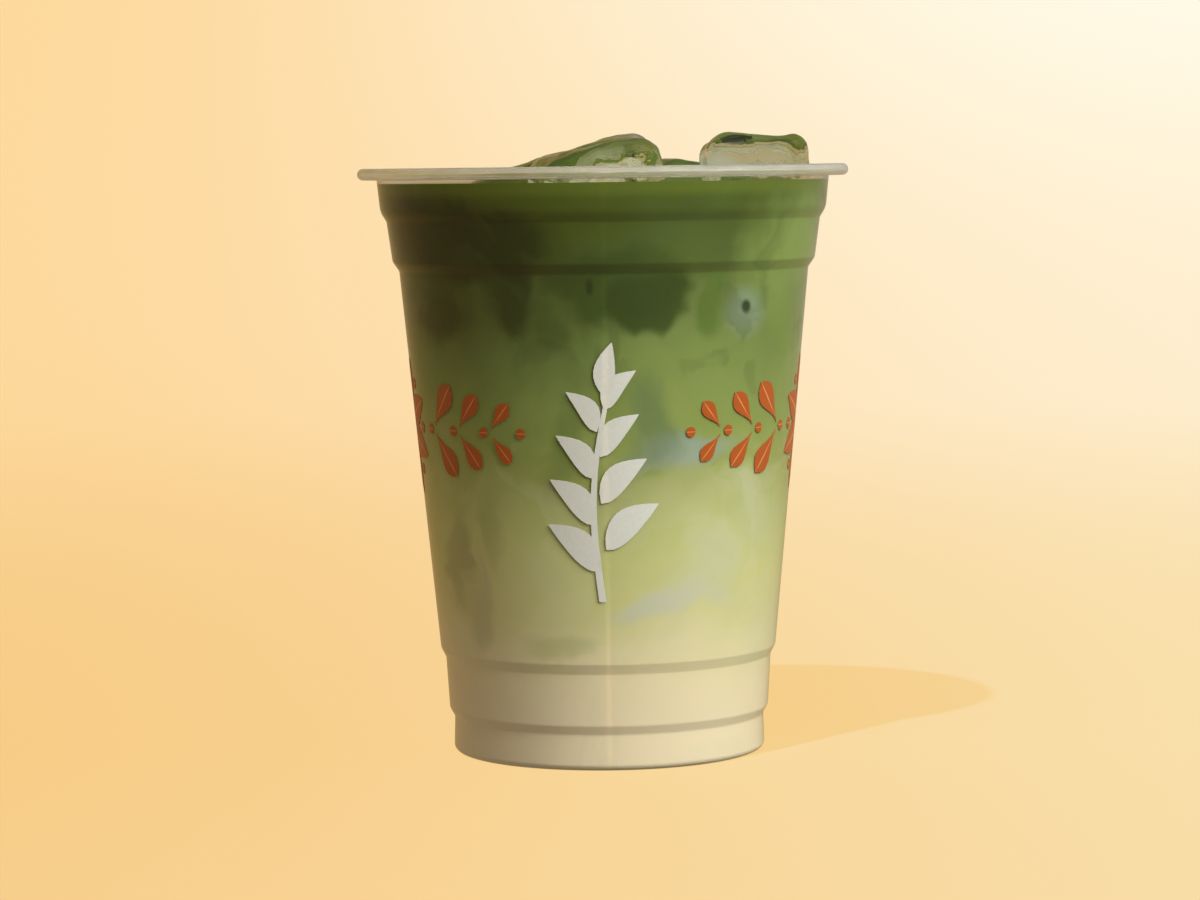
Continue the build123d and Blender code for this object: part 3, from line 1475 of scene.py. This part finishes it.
    def light(self) -> None:
        """Lights the drink: a broad key, two weak lamps for gloss, a sun for the floor and air."""
        self.lamp("key", 46, 32, 1.0, 0.6, 10.2, mirrored=False, colour=(1.0, 0.99, 0.98))
        self.lamp("gloss_right", 62, 22, 1.1, 0.3, 0.5)
        self.lamp("gloss_top", 25, 62, 1.1, 0.6, 1.0)
        self.floor_sun(-29, 54, 1.3, 2.4)
        world = bpy.data.worlds.new("room")
        bpy.context.scene.world = world
        world.use_nodes = True
        graph = Graph(world.node_tree)
        out = graph.add("OutputWorld")
        sky = graph.add("Background", {"Color": self.air, "Strength": self.air_strength})
        world.node_tree.links.new(sky.outputs[0], out.inputs["Surface"])

    def camera(self) -> None:
        """Sets the camera about level with the rim, looking slightly down."""
        data = bpy.data.cameras.new("camera")
        data.lens = self.lens
        data.sensor_width = 36.0
        camera = bpy.data.objects.new("camera", data)
        bpy.context.scene.collection.objects.link(camera)
        camera.location = (self.camera_side, -self.camera_distance, self.camera_height)
        camera.rotation_mode = "XYZ"
        camera.rotation_euler = (
            math.radians(90 - self.camera_tilt), math.radians(self.camera_roll), 0.0
        )
        bpy.context.scene.camera = camera

    def build(self) -> None:
        """Sets up the room, the lamps, the camera and how colours are shown."""
        self.backdrop()
        self.light()
        self.camera()
        bpy.context.scene.view_settings.view_transform = "Standard"


def main() -> None:
    """Builds every piece in order."""
    logging.basicConfig(level=logging.INFO, format="%(name)s: %(message)s")
    effects = Effects()
    cup = Cup()
    studio = Studio()
    studio.build()
    log.info("studio ready")
    cup.build(ClearPlastic().material(effects), MilkyPlastic().material(effects))
    log.info("cup: %.1f mm high, rim radius %.1f mm", cup.height, cup.rim_radius)
    ice = WetIce().material(effects)
    cubes = [
        IceCube("ice_front", 2.2, (3, 1, 4)).build(ice),
        IceCube("ice_right", 1.8, (-2, 3, 1)).build(ice),
        IceCube("ice_back_left", 1.8, (5, -2, 2)).build(ice),
        IceCube("ice_back_right", 1.8, (1, 4, -3)).build(ice),
    ]
    log.info("ice: %d cubes", len(cubes))
    drink = Drink(cup)
    drink.build(cubes, LayeredDrink().material(effects))
    log.info("drink: level at %.1f mm", drink.level)
    white = Ink("white_ink", "dcdfd4", "dcdfd4").material(effects)
    orange = Ink("orange_ink", "ad5620", "dd8f55").material(effects)
    TeaSprig("tea_sprig", cup, 0.0, 58.5, "ink_white").build(white)
    for name, azimuth in (("rosette_left", -90.0), ("rosette_right", 90.0)):
        Rosette(name, cup, azimuth, 66.0, "ink_orange").build(orange)
    log.info("prints: a tea sprig and two rosettes")


if __name__ == "__main__":
    main()
